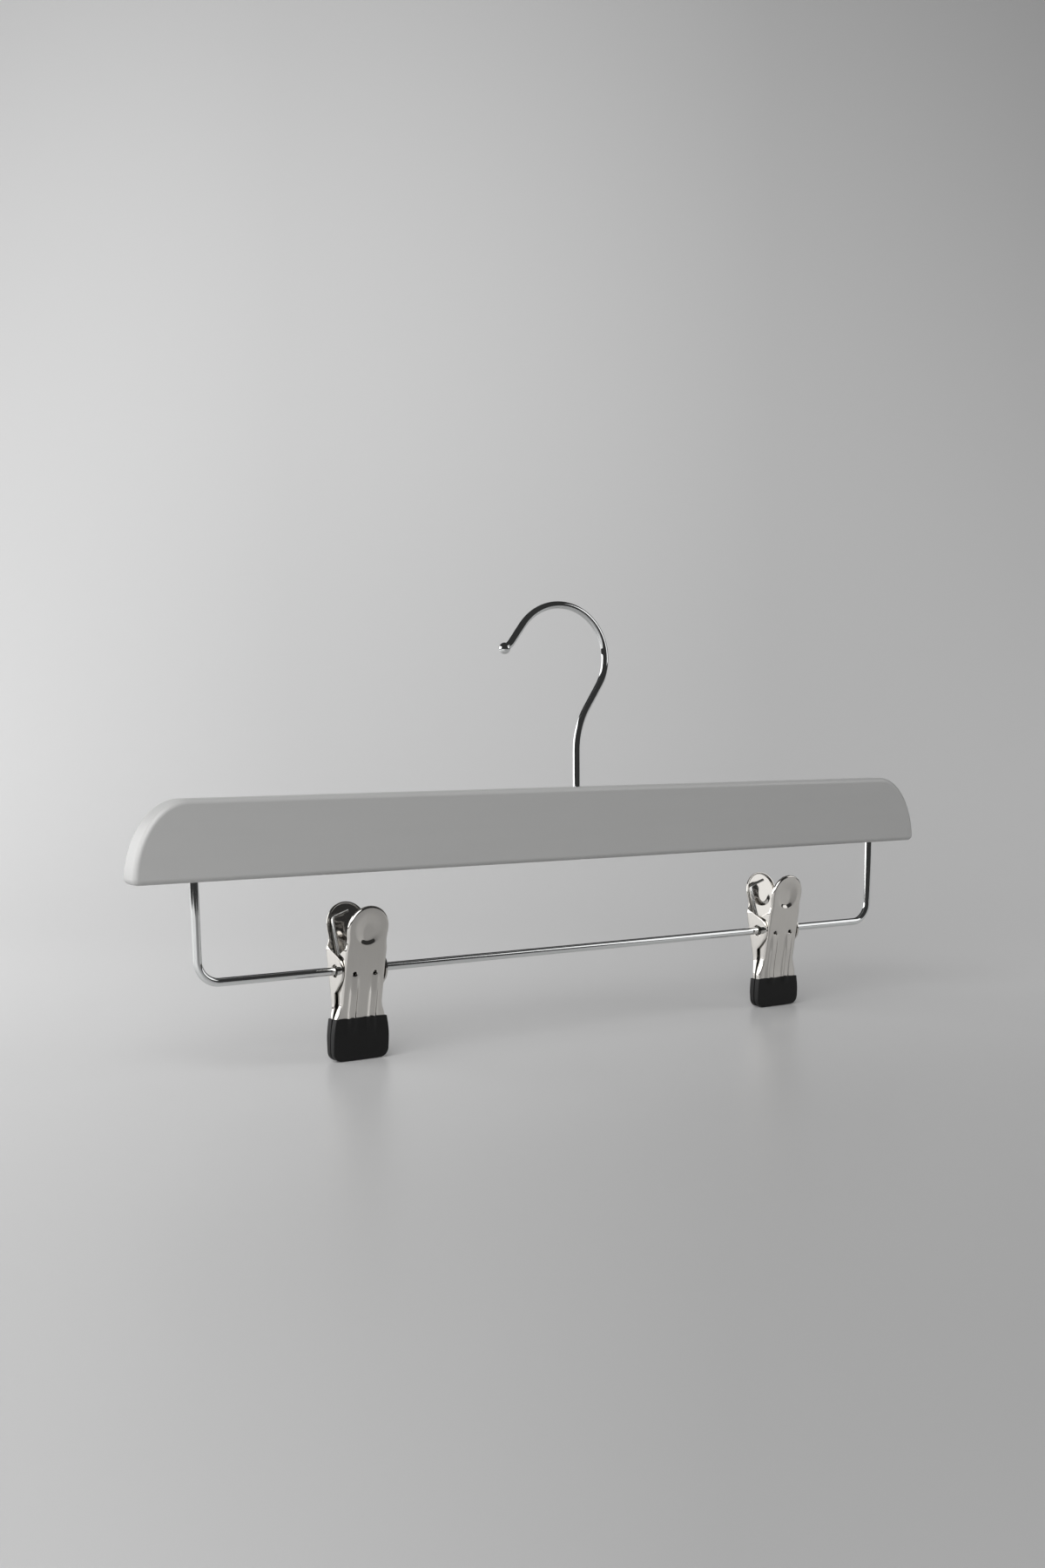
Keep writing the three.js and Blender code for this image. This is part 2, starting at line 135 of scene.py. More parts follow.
class ClipSizes(PropertyGroup):
    """Sizes of one clip, measured from the bar's axis."""

    left: length("Place of the left clip along the bar", -95.6)
    right: length("Place of the right clip along the bar", 101.8)
    sheet: length("Thickness of the sheet", 0.7)
    bend: length("Outer radius of the folded edges", 0.9)
    handle: length("Radius of the round handle", 8)
    handle_centre: length("Height of the handle's centre", 15)
    rim: length("Depth of the handle's rim", 1.3)
    neck: length("Half width below the handle", 7.7)
    grip: length("Half width of the gripping end", 10.2)
    drop: length("Gripping edge below the bar", 30.7)
    knee_reach: length("Reach of the plate at its bend", 2.4)
    knee_drop: length("Bend of the plate below the bar", 16)
    rear_half: length("Half width over the rear ears", 9.1)
    front_half: length("Half width over the front ears", 8.1)
    rear_lobe: length("Radius of the rear ears", 5.4)
    front_lobe: length("Radius of the front ears", 4.4)
    ear_hole: length("Radius of the holes for the pivot tube", 2.3)
    dish: length("Radius of the thumb dish", 5.8)
    dish_depth: length("Depth of the thumb dish", 0.65)
    rib_place: length("Ribs and dents from the middle", 4)
    rib_height: length("Height of the ribs", 0.7)
    dent_drop: length("Dents below the bar's axis", 0.8)
    dent: length("Half height of the dents", 1.05)
    dent_hole: length("Radius of the hole in each dent", 0.75)
    dent_depth: length("Depth of the dents", 0.45)
    tube_bore: length("Inner radius of the pivot tube", 1.8)
    tube: length("Outer radius of the pivot tube", 2.15)
    tube_half: length("Half length of the pivot tube", 8.5)
    spring_wire: length("Diameter of the spring's wire", 1.1)
    spring_coil: length("Radius of the spring's centre line", 3.25)
    spring_pitch: length("Step from turn to turn", 1.75)
    tip_half: length("Half width of the dipped tips", 11)
    tip_end: length("Lower end of the tips below the bar", 31.5)
    tip_corner: length("Radius of the tips' lower corners", 3)
    left_tip: length("Height of the left tips", 14.8)
    right_tip: length("Height of the right tips", 11.7)


class Finishes(PropertyGroup):
    """Colours of the finishes, and the floor's painted light and shade."""

    grey_paint: colour("Satin paint on the beam", (0.45, 0.45, 0.445))
    chrome_wire: colour("Bright plating on the wires", (0.72, 0.73, 0.73))
    nickel_sheet: colour("Plated sheet of the jaws", (0.62, 0.60, 0.57))
    black_dip: colour("Coating of the tips", (0.006, 0.006, 0.006))
    spring_steel: colour("Drawn wire of the springs", (0.55, 0.55, 0.54))
    zinc: colour("Washer and nut", (0.48, 0.49, 0.50))
    # Painted light and shade on the floor: the left tone stands in for the lamps' light, the right tone
    # for their falloff
    floor_painted_lit: colour("Floor at the left of the view", (0.50, 0.50, 0.50))
    floor_painted_shade: colour("Floor at the right of the view", (0.385, 0.385, 0.385))


class StageSettings(PropertyGroup):
    """Camera and lights."""

    camera: FloatVectorProperty(
        name="Place of the camera", default=(-0.394951, -0.531646, -0.041825),
        unit="LENGTH", subtype="TRANSLATION", size=3, precision=6,
    )
    yaw: angle("Turn of the camera from +Y to +X", 34.83988)
    pitch: angle("Tilt of the camera below the horizon", 1.98621)
    roll: angle("Roll of the camera", -0.24343)
    lens: FloatProperty(name="Focal length in millimetres", default=39.99, unit="CAMERA")
    floor: length("Height of the floor, just under the tips", -159.2)
    left_light: power("Soft light high at the left", 20.5)
    back_light: power("Panel at the left back", 10)
    right_light: power("Panel at the right", 4.2)
    drop_light: power("Soft light on the backdrop", 12)
    world: FloatProperty(name="Brightness of the dim surround", default=0.04, subtype="FACTOR")


# Work in the viewport, as by hand
def deselect():
    if bpy.context.mode != "OBJECT":
        bpy.ops.object.mode_set(mode="OBJECT")
    bpy.ops.object.select_all(action="DESELECT")


def pick(piece):
    deselect()
    piece.select_set(True)
    bpy.context.view_layer.objects.active = piece


def named(name):
    """Names the object just added and sets its place into its mesh."""
    piece = bpy.context.object
    piece.name = piece.data.name = name
    bpy.ops.object.transform_apply()
    return piece


def choose(piece, kind, test):
    """Selects the vertices, edges or faces in edit mode that pass a test."""
    bpy.ops.mesh.select_mode(type=kind)
    bpy.ops.mesh.select_all(action="DESELECT")
    mesh = bmesh.from_edit_mesh(piece.data)
    parts = {"VERT": mesh.verts, "EDGE": mesh.edges, "FACE": mesh.faces}[kind]
    chosen = [part for part in parts if test(part)]
    if not chosen:
        raise RuntimeError(f"{piece.name}: nothing found to work on")
    for part in chosen:
        part.select_set(True)
    bmesh.update_edit_mesh(piece.data)


def select_all():
    bpy.ops.mesh.select_all(action="SELECT")


def spin(steps, turn, centre, axis):
    """Spins the selection right-handed about an axis."""
    bpy.ops.mesh.spin(steps=steps, angle=-turn, center=centre, axis=axis)


def weld(distance=TOUCHING):
    """Joins the vertices that lie on each other in edit mode."""
    select_all()
    bpy.ops.mesh.remove_doubles(threshold=distance)


def face_out():
    """Turns every face outward and leaves edit mode."""
    select_all()
    bpy.ops.mesh.normals_make_consistent(inside=False)
    bpy.ops.object.mode_set(mode="OBJECT")


def modify(piece, kind, **settings):
    """Adds a modifier, sets it and applies it."""
    pick(piece)
    bpy.ops.object.modifier_add(type=kind)
    modifier = piece.modifiers[-1]
    for key, value in settings.items():
        setattr(modifier, key, value)
    bpy.ops.object.modifier_apply(modifier=modifier.name)


def round_edges(piece, width, segments, degrees):
    """Rounds the edges at which the surface turns by more than an angle."""
    modify(
        piece, "BEVEL", width=width, segments=segments, limit_method="ANGLE",
        angle_limit=math.radians(degrees), use_clamp_overlap=True,
    )


def cut_rod(piece, low, high, radius, sides=32):
    """Cuts a round hole between two points of its axis."""
    deselect()
    way = high - low
    bpy.ops.mesh.primitive_cylinder_add(
        vertices=sides, radius=radius, depth=way.length,
        location=(low + high) / 2, rotation=way.to_track_quat("Z", "Y").to_euler(),
    )
    cutter = bpy.context.object
    modify(piece, "BOOLEAN", operation="DIFFERENCE", object=cutter, solver="EXACT")
    pick(cutter)
    bpy.ops.object.delete()


def smooth_shade(piece, degrees):
    pick(piece)
    bpy.ops.object.shade_smooth_by_angle(angle=math.radians(degrees))


def put(piece, shift, half_turn=False):
    """Moves a piece from the origin to its place, turned half round if it faces the front."""
    pick(piece)
    if half_turn:
        bpy.ops.transform.rotate(value=math.pi, orient_axis="Z", center_override=(0, 0, 0))
    bpy.ops.transform.translate(value=shift)
    bpy.ops.object.transform_apply()


def copy_of(piece, name, shift, half_turn=False):
    """A copy with its own mesh, put in its place."""
    pick(piece)
    bpy.ops.object.duplicate(linked=False)
    copy = bpy.context.object
    copy.name = copy.data.name = name
    put(copy, shift, half_turn)
    return copy


class Wire:
    """A ring of wire drawn out along straight runs and round bends."""

    def __init__(self, name, place, heading, radius, sides=28):
        deselect()
        self.tip = Vector(place)
        self.heading = Vector(heading).normalized()
        self.radius = radius
        bpy.ops.mesh.primitive_circle_add(
            vertices=sides, radius=radius, fill_type="NOTHING",
            location=self.tip, rotation=self.heading.to_track_quat("Z", "Y").to_euler(),
        )
        self.piece = named(name)
        bpy.ops.object.mode_set(mode="EDIT")
        bpy.ops.mesh.select_mode(type="EDGE")
        select_all()

    def run(self, distance, radius=None):
        """A straight run, to a new radius if one is given."""
        self.tip = self.tip + self.heading * distance
        bpy.ops.mesh.extrude_region_move(TRANSFORM_OT_translate={"value": self.heading * distance})
        if radius is not None:
            bpy.ops.transform.resize(value=(radius / self.radius,) * 3, center_override=self.tip)
            self.radius = radius

    def bend(self, radius, turn, axis):
        """A bend, right-handed about the axis, or the other way for a negative turn."""
        if turn < 0:
            turn, axis = -turn, -axis
        centre = self.tip + axis.cross(self.heading) * radius
        degrees_a_step, fewest = 4, 4
        steps = max(fewest, round(math.degrees(turn) / degrees_a_step))
        spin(steps, turn, centre, axis)
        turning = Matrix.Rotation(turn, 3, axis)
        self.tip = centre + turning @ (self.tip - centre)
        self.heading = turning @ self.heading

    def ball(self, radius):
        """A round ball on the end, ended just short of its pole."""
        start, last = math.asin(self.radius / radius), math.radians(174)
        steps = 18
        place = -math.cos(start)
        for i in range(1, steps + 1):
            turn = start + (last - start) * i / steps
            self.run(radius * (-math.cos(turn) - place), radius * math.sin(turn))
            place = -math.cos(turn)

    def _checked(self):
        mesh = bmesh.from_edit_mesh(self.piece.data)
        ends = [vert.co for vert in mesh.verts if vert.select]
        middle = sum(ends, Vector()) / len(ends)
        if (middle - self.tip).length > SLACK:
            raise RuntimeError(f"{self.piece.name}: the wire's end is out of place")

    def capped(self):
        """Closes both ends."""
        self._checked()
        select_all()
        bpy.ops.mesh.fill_holes(sides=0)
        return self._done()

    def closed(self):
        """Joins the last ring to the first."""
        self._checked()
        choose(self.piece, "EDGE", lambda edge: edge.is_boundary)
        bpy.ops.mesh.bridge_edge_loops()
        return self._done()

    def _done(self):
        face_out()
        smooth_shade(self.piece, 40)
        return self.piece


def turned(name, centre, axis, profile, sides=40):
    """A ring turned from (radius, place along the axis) pairs."""
    radius, place = profile[0]
    ring = Wire(name, centre + axis * place, axis, radius, sides)
    for radius, next_place in profile[1:]:
        ring.run(next_place - place, radius)
        place = next_place
    return ring.closed()


def shaped(piece, place_of):
    """Moves every vertex in edit mode to a new place."""
    mesh = bmesh.from_edit_mesh(piece.data)
    for vert in mesh.verts:
        vert.co = place_of(vert.co)
    bmesh.update_edit_mesh(piece.data)


# Finishes
def fill_inputs(tree, node, inputs):
    """Gives each input a value, or a link from another node's output."""
    for label, value in inputs.items():
        if isinstance(value, bpy.types.NodeSocket):
            tree.links.new(value, node.inputs[label])
        else:
            node.inputs[label].default_value = value


def add_node(tree, kind, inputs=None, **settings):
    """Adds a node, sets it, fills its inputs and gives back its outputs."""
    node = tree.nodes.new(kind)
    for name, value in settings.items():
        setattr(node, name, value)
    fill_inputs(tree, node, inputs or {})
    return node.outputs


def grain_group():
    """Grain drawn out along the axes: it varies the colour, the roughness and a height."""
    if "Drawn Grain" in bpy.data.node_groups:
        return bpy.data.node_groups["Drawn Grain"]
    tree = bpy.data.node_groups.new("Drawn Grain", "ShaderNodeTree")
    for way, label, kind in (
        ("INPUT", "Colour", "Color"), ("INPUT", "Colour Spread", "Float"),
        ("INPUT", "Roughness", "Float"), ("INPUT", "Roughness Spread", "Float"),
        ("INPUT", "Stretch", "Vector"),
        ("OUTPUT", "Colour", "Color"), ("OUTPUT", "Roughness", "Float"), ("OUTPUT", "Height", "Float"),
    ):
        tree.interface.new_socket(label, in_out=way, socket_type=f"NodeSocket{kind}")
    given = add_node(tree, "NodeGroupInput")
    place = add_node(tree, "ShaderNodeTexCoord")
    drawn = add_node(
        tree, "ShaderNodeVectorMath", {0: place["Object"], 1: given["Stretch"]}, operation="MULTIPLY",
    )
    noise = add_node(tree, "ShaderNodeTexNoise", {"Vector": drawn["Vector"], "Scale": 1, "Detail": 3})
    swing = add_node(tree, "ShaderNodeMath", {0: noise["Fac"], 1: 0.5}, operation="SUBTRACT")
    lift = add_node(
        tree, "ShaderNodeMath", {0: swing["Value"], 1: given["Colour Spread"], 2: 1},
        operation="MULTIPLY_ADD",
    )
    tint = add_node(
        tree, "ShaderNodeVectorMath", {0: given["Colour"], "Scale": lift["Value"]}, operation="SCALE",
    )
    rough = add_node(
        tree, "ShaderNodeMath",
        {0: swing["Value"], 1: given["Roughness Spread"], 2: given["Roughness"]},
        operation="MULTIPLY_ADD", use_clamp=True,
    )
    add_node(
        tree, "NodeGroupOutput",
        {"Colour": tint["Vector"], "Roughness": rough["Value"], "Height": noise["Fac"]},
    )
    return tree


def finish(
    name, tone, stretch, colour_spread, roughness, roughness_spread, bump, metallic=0, specular=0.5,
):
    """A material whose colour, roughness and surface follow a drawn grain."""
    material = bpy.data.materials.new(name)
    material.use_nodes = True
    tree = material.node_tree
    grain = add_node(
        tree, "ShaderNodeGroup",
        {
            "Colour": (*tone, 1), "Colour Spread": colour_spread,
            "Roughness": roughness, "Roughness Spread": roughness_spread, "Stretch": stretch,
        },
        node_tree=grain_group(),
    )
    relief = add_node(tree, "ShaderNodeBump", {"Strength": 1, "Distance": bump, "Height": grain["Height"]})
    fill_inputs(tree, tree.nodes["Principled BSDF"], {
        "Base Color": grain["Colour"], "Roughness": grain["Roughness"], "Normal": relief["Normal"],
        "Metallic": metallic, "Specular IOR Level": specular,
    })
    return material


FINISHES = {
    "grey_paint": dict(
        stretch=(25, 300, 300), colour_spread=0.03,
        roughness=0.36, roughness_spread=0.05, bump=0.004 * MM,
    ),
    "chrome_wire": dict(
        stretch=(300, 300, 300), colour_spread=0.03,
        roughness=0.05, roughness_spread=0.03, bump=0.0005 * MM, metallic=1,
    ),
    "nickel_sheet": dict(
        stretch=(2200, 900, 60), colour_spread=0.08,
        roughness=0.10, roughness_spread=0.06, bump=0.0006 * MM, metallic=1,
    ),
    "black_dip": dict(
        stretch=(500, 500, 500), colour_spread=0.4,
        roughness=0.5, roughness_spread=0.1, bump=0.03 * MM, specular=0.25,
    ),
    "spring_steel": dict(
        stretch=(800, 800, 800), colour_spread=0.1,
        roughness=0.16, roughness_spread=0.05, bump=0.001 * MM, metallic=1,
    ),
    "zinc": dict(
        stretch=(600, 600, 600), colour_spread=0.15,
        roughness=0.4, roughness_spread=0.1, bump=0.004 * MM, metallic=1,
    ),
}


def finish_of(slot):
    """The finish of one of the record's slots, made when it is first asked for."""
    name = f"{slot}_finish"
    if name in bpy.data.materials:
        return bpy.data.materials[name]
    tone = getattr(bpy.context.scene.hanger_finishes, slot)
    return finish(name, tone, **FINISHES[slot])


def handed_over(piece, body, node, slot):
    """Gives a finished piece its finish and its place in the frame."""
    piece.data.materials.clear()
    piece.data.materials.append(finish_of(slot))
    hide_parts(node)
    if body is not None:
        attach(piece, body)


# Shapes of the clip, about the bar's axis and reaching out to +Y
def eased(value):
    value = min(max(value, 0.0), 1.0)
    return value * value * (3 - 2 * value)


def along(places, z):
    """A value eased from one (height, value) place to the next."""
    for (low, first), (high, second) in zip(places, places[1:]):
        if z <= high:
            return first + (second - first) * eased((z - low) / (high - low))
    return places[-1][1]


def plate_reach(sizes, z):
    """Reach of a jaw's plate, with a soft bend at the knee."""
    soft = 3 * MM
    lower_slope, knee_turn = 0.0612, 0.1362
    above = z + sizes.knee_drop
    if above < -soft:
        ramp = 0
    elif above < soft:
        ramp = (above + soft) ** 2 / (4 * soft)
    else:
        ramp = above
    return sizes.knee_reach + lower_slope * above + knee_turn * ramp


def half_width(sizes, ear_half, z):
    """Half width of a jaw at its cut corners, grip, ears, neck and handle."""
    places = [
        (-sizes.drop, sizes.grip - 1.5 * MM),
        (-29.8 * MM, sizes.grip - 0.3 * MM),
        (-28.5 * MM, sizes.grip),
        (-19 * MM, sizes.grip),
        (-11 * MM, ear_half),
        (6.8 * MM, ear_half),
        (10.7 * MM, sizes.neck),
        (sizes.handle_centre, sizes.handle),
    ]
    return along(places, z)


def free_edge(sizes, lobe, z):
    """Reach of a jaw's folded edge: rim, ear and flange."""
    foot, rim_foot = -8 * MM, 8.2 * MM
    rim = plate_reach(sizes, rim_foot) - sizes.rim
    if z >= rim_foot:
        return plate_reach(sizes, z) - sizes.rim
    edge = 0.4 * MM
    if z <= foot:
        return edge
    upper = math.atan2(rim_foot, rim) + math.acos(lobe / math.hypot(rim, rim_foot))
    lower = math.atan2(foot, edge) - math.acos(lobe / math.hypot(edge, foot))
    high, low = lobe * math.sin(upper), lobe * math.sin(lower)
    if z > high:
        share = (z - high) / (rim_foot - high)
        return lobe * math.cos(upper) * (1 - share) + rim * share
    if z < low:
        share = (z - foot) / (low - foot)
        return edge * (1 - share) + lobe * math.cos(lower) * share
    return -math.sqrt(lobe * lobe - z * z)


def rib_over(sizes, x, z):
    """Height of a pressed rib, which rises below its dent and dies away under the dip."""
    half, flank = 2.05 * MM, 1.1 * MM
    top, rise = -1.2 * MM, 7 * MM
    foot, fade = -22.5 * MM, 3 * MM
    off_rib = abs(abs(x) - sizes.rib_place)
    ends = min(max((top - z) / rise, 0), 1) * eased((z - foot) / fade)
    return sizes.rib_height * ends * eased((half - off_rib) / flank)


def pressed(sizes, x, z):
    """Height of the pressed ribs, dents and thumb dish over the plate."""
    dent_stretch = 1.3
    soft_wall, steepening = 4.6 * MM, 3.2 * MM
    off_rib = abs(abs(x) - sizes.rib_place)
    from_dent = math.hypot(off_rib / dent_stretch, z + sizes.dent_drop) / sizes.dent
    dent = max(0.0, 1 - from_dent ** 2) ** 2
    rise = z - sizes.handle_centre
    from_dish = math.hypot(x, rise)
    lowness = (0.5 - 0.5 * rise / max(from_dish, MM)) ** 4
    wall = soft_wall - steepening * lowness
    share = min(max((sizes.dish - from_dish) / wall, 0), 1)
    dish = eased(share) + (share - eased(share)) * lowness
    return rib_over(sizes, x, z) - sizes.dent_depth * dent - sizes.dish_depth * dish


def jaw_rows(sizes):
    """Base height, and way across and up, of each row up the plate and round the handle."""
    # Levels in millimetres from the bar's axis, closest where the shape turns
    corners = [-30.7, -30.2, -29.8, -29.2, -28.5, -26, -23, -21]
    knee = [-20 + 0.7 * i for i in range(14)]
    flange = [-10.2, -9.4, -8.7, -8]
    levels = corners + knee + flange
    for lowest, step, count in (
        (-7.5, 0.5, 8), (-3.6, 0.2, 6), (-2.3, 0.2, 15), (0.9, 0.5, 8),
        (4.85, 0.35, 10), (8.3, 0.15, 16), (10.8, 0.35, 12),
    ):
        levels += [lowest + step * i for i in range(count)]
    rows = [(level * MM, 1.0, 0.0) for level in levels]
    for degrees in range(0, 91, 5):
        turn = math.radians(degrees)
        rows.append((sizes.handle_centre, math.cos(turn), math.sin(turn)))
    return rows


def jaw(sizes, name, ear_half, lobe):
    """One jaw folded from sheet, at the bar's origin, reaching out to +Y."""
    rows = jaw_rows(sizes)
    # Columns in millimetres from the middle, closest over the ribs
    spread = [0, 0.45, 0.9, 1.35, 1.8, 2.2, 2.5, 2.7, 2.9, 3.1, 3.35, 3.6, 3.8]
    spread += [4.0, 4.2, 4.4, 4.65, 4.9, 5.1, 5.3, 5.5, 5.8]
    inner = [distance * MM for distance in spread]
    bends, walls = 6, 6
    most_bend = 0.75
    count = len(inner) + 1 + bends + walls
    deselect()
    bpy.ops.mesh.primitive_grid_add(x_subdivisions=2 * (count - 1), y_subdivisions=len(rows) - 1, size=1)
    piece = named(name)
    bpy.ops.object.mode_set(mode="EDIT")

    def place_of(grid):
        column = round((grid.x + 0.5) * 2 * (count - 1)) - (count - 1)
        base, across, up = rows[round((grid.y + 0.5) * (len(rows) - 1))]
        side = -1 if column < 0 else 1
        column = abs(column)
        fan = up > 0
        half = sizes.handle if fan else half_width(sizes, ear_half, base)
        rim_height = base + half * up
        face = plate_reach(sizes, rim_height)
        edge = face - sizes.rim if fan else free_edge(sizes, lobe, base)
        bend = min(sizes.bend, most_bend * (face - edge))
        press = 0
        if column <= len(inner):
            flat = half - bend
            distance = inner[column] if column < len(inner) else (inner[-1] + flat) / 2
            height = base + distance * up
            press = pressed(sizes, distance * across, height)
            reach = plate_reach(sizes, height)
        elif column <= len(inner) + bends:
            turn = math.radians(90) * (column - len(inner) - 1) / (bends - 1)
            distance = half - bend * (1 - math.sin(turn))
            height = base + distance * up
            reach = plate_reach(sizes, height) - bend * (1 - math.cos(turn))
        else:
            share = (column - len(inner) - bends) / walls
            distance = half
            height = rim_height
            reach = (face - bend) * (1 - share) + edge * share
        return Vector((side * distance * across, reach + press, height))

    shaped(piece, place_of)
    weld(distance=1e-6)
    bpy.ops.mesh.normals_make_consistent(inside=False)
    mesh = bmesh.from_edit_mesh(piece.data)
    outside = max(mesh.faces, key=lambda face: face.calc_center_median().y)
    if outside.normal.y < 0:
        bpy.ops.mesh.flip_normals()
    bpy.ops.object.mode_set(mode="OBJECT")
    modify(piece, "SOLIDIFY", thickness=sizes.sheet, offset=-1, use_even_offset=True)
    wide = 3 * sizes.grip
    cut_rod(piece, -X * wide, X * wide, sizes.ear_hole, sides=48)
    for side in (-1, 1):
        dent = Vector((side * sizes.rib_place, 0, -sizes.dent_drop))
        cut_rod(piece, dent, dent + Y * wide, sizes.dent_hole)
    round_edges(piece, width=0.1 * MM, segments=2, degrees=50)
    smooth_shade(piece, 40)
    return piece


def tip(sizes, name, ear_half, height):
    """One dipped tip, at the bar's origin, on the jaw that reaches out to +Y."""
    seam, skin, thinning = 0.15 * MM, 0.8 * MM, 0.3 * MM
    lip, tuck = 0.25 * MM, 0.25 * MM
    shoulder, mouth = 0.45, 0.99
    inner_rim, hollow = 1.4 * MM, 0.5 * MM
    rib_reach, rib_wave = 1.6 * MM, 0.3 * MM
    ripple, ripple_rate, ripple_start = 0.1 * MM, 0.55 / MM, 0.6
    columns, column, rows = 13, 0.75 * MM, 10
    low, middle = -sizes.tip_end, -25 * MM
    depth = plate_reach(sizes, middle) + skin - seam
    brim = half_width(sizes, ear_half, low + height) + lip
    deselect()
    bpy.ops.mesh.primitive_cube_add(
        size=1, location=(0, seam + depth / 2, low + height / 2),
        scale=(2 * sizes.tip_half, depth, height),
    )
    piece = named(name)
    bpy.ops.object.mode_set(mode="EDIT")
    choose(piece, "EDGE", lambda edge: (
        abs(edge.verts[0].co.y - edge.verts[1].co.y) > depth / 2
        and all(vert.co.z < low + height / 2 for vert in edge.verts)
    ))
    bpy.ops.mesh.bevel(offset=sizes.tip_corner, segments=7, affect="EDGES")
    choose(piece, "FACE", lambda face: face.normal.y < -0.9)
    bpy.ops.mesh.inset(thickness=inner_rim)
    bpy.ops.transform.translate(value=(0, hollow, 0))
    for i in range(-columns, columns + 1):
        select_all()
        bpy.ops.mesh.bisect(plane_co=(i * column, 0, 0), plane_no=X)
    for i in range(1, rows):
        select_all()
        bpy.ops.mesh.bisect(plane_co=(0, 0, low + height * i / rows), plane_no=Z)

    def place_of(old):
        share = (old.z - low) / height
        out = (old.y - seam) / depth
        coat = skin - thinning * eased(2 * share - 1)
        reach = plate_reach(sizes, old.z) + coat + rib_over(sizes, old.x, old.z) - seam
        rise = 1 - max(0.0, share - shoulder) / (1 - shoulder)
        half = brim + (sizes.tip_half - brim) * (1 - (1 - rise) ** 2)
        half -= tuck * max(0.0, 1 - share / shoulder) ** 2
        wave = 0
        if share > mouth:
            off_rib = abs(abs(old.x) - sizes.rib_place) / rib_reach
            wave = rib_wave * eased(1 - off_rib) - ripple * math.sin(old.x * ripple_rate + ripple_start)
        return Vector((old.x * half / sizes.tip_half, seam + reach * out, old.z + wave))

    shaped(piece, place_of)
    face_out()
    round_edges(piece, width=0.5 * MM, segments=4, degrees=40)
    smooth_shade(piece, 40)
    return piece


def spring_line(sizes):
    """Centre line of a spring: rear leg and toe, coil round the pivot, front leg and toe."""
    wire = sizes.spring_wire
    leg_height, leg_gap, clearance = 17.6 * MM, 1.4 * MM, 0.4 * MM
    toe_length, toe_tuck, toe_rise = 6 * MM, 1.2 * MM, 2.5 * MM
    turns = 5.5
    leg_reach = plate_reach(sizes, leg_height) - sizes.sheet - clearance - wire / 2
    away = math.hypot(leg_reach, leg_height)
    leave = math.atan2(leg_height, leg_reach) - math.acos(sizes.spring_coil / away)
    sweep = math.tau * turns + 2 * leave
    half_coil = sizes.spring_pitch * sweep / (2 * math.tau)
    leg_x = half_coil + leg_gap
    leg = [
        Vector((toe_length - leg_x, leg_reach - toe_tuck, leg_height + toe_rise)),
        Vector((wire - leg_x, leg_reach, leg_height + wire / 2)),
        Vector((wire / 3 - leg_x, leg_reach, leg_height)),
        Vector((-leg_x, leg_reach - wire / 3, leg_height - wire)),
    ]
    steps = 132
    coil = []
    for i in range(steps + 1):
        turn = leave - sweep * i / steps
        coil.append(Vector((
            half_coil * (2 * i / steps - 1),
            sizes.spring_coil * math.cos(turn),
            sizes.spring_coil * math.sin(turn),
        )))
    line = leg + coil + [Vector((-point.x, -point.y, point.z)) for point in reversed(leg)]
    softenings, cut = 2, 0.25
    for _ in range(softenings):
        softer = [line[0]]
        for first, second in zip(line, line[1:]):
            softer += [first.lerp(second, cut), first.lerp(second, 1 - cut)]
        line = softer + [line[-1]]
    return line


def spring(sizes, name, centre):
    """A torsion spring drawn as a curve and turned into a mesh."""
    deselect()
    curve = bpy.data.curves.new(name, "CURVE")
    curve.dimensions = "3D"
    curve.bevel_depth = sizes.spring_wire / 2
    curve.bevel_resolution = 4
    curve.use_fill_caps = True
    line = spring_line(sizes)
    path = curve.splines.new("POLY")
    path.points.add(len(line) - 1)
    for point, place in zip(path.points, line):
        point.co = (*(place + centre), 1)
    drawn = bpy.data.objects.new(name, curve)
    bpy.context.scene.collection.objects.link(drawn)
    pick(drawn)
    bpy.ops.object.convert(target="MESH")
    piece = bpy.context.object
    piece.name = piece.data.name = name
    bpy.ops.object.mode_set(mode="EDIT")
    weld()
    face_out()
    smooth_shade(piece, 50)
    return piece


def clip_centres(sizes):
    """Side and place of each clip on the bar's axis."""
    low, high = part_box("left_pivot_tube")
    bar = (low[2] + high[2]) / 2
    return [("left", Vector((sizes.left, 0, bar))), ("right", Vector((sizes.right, 0, bar)))]


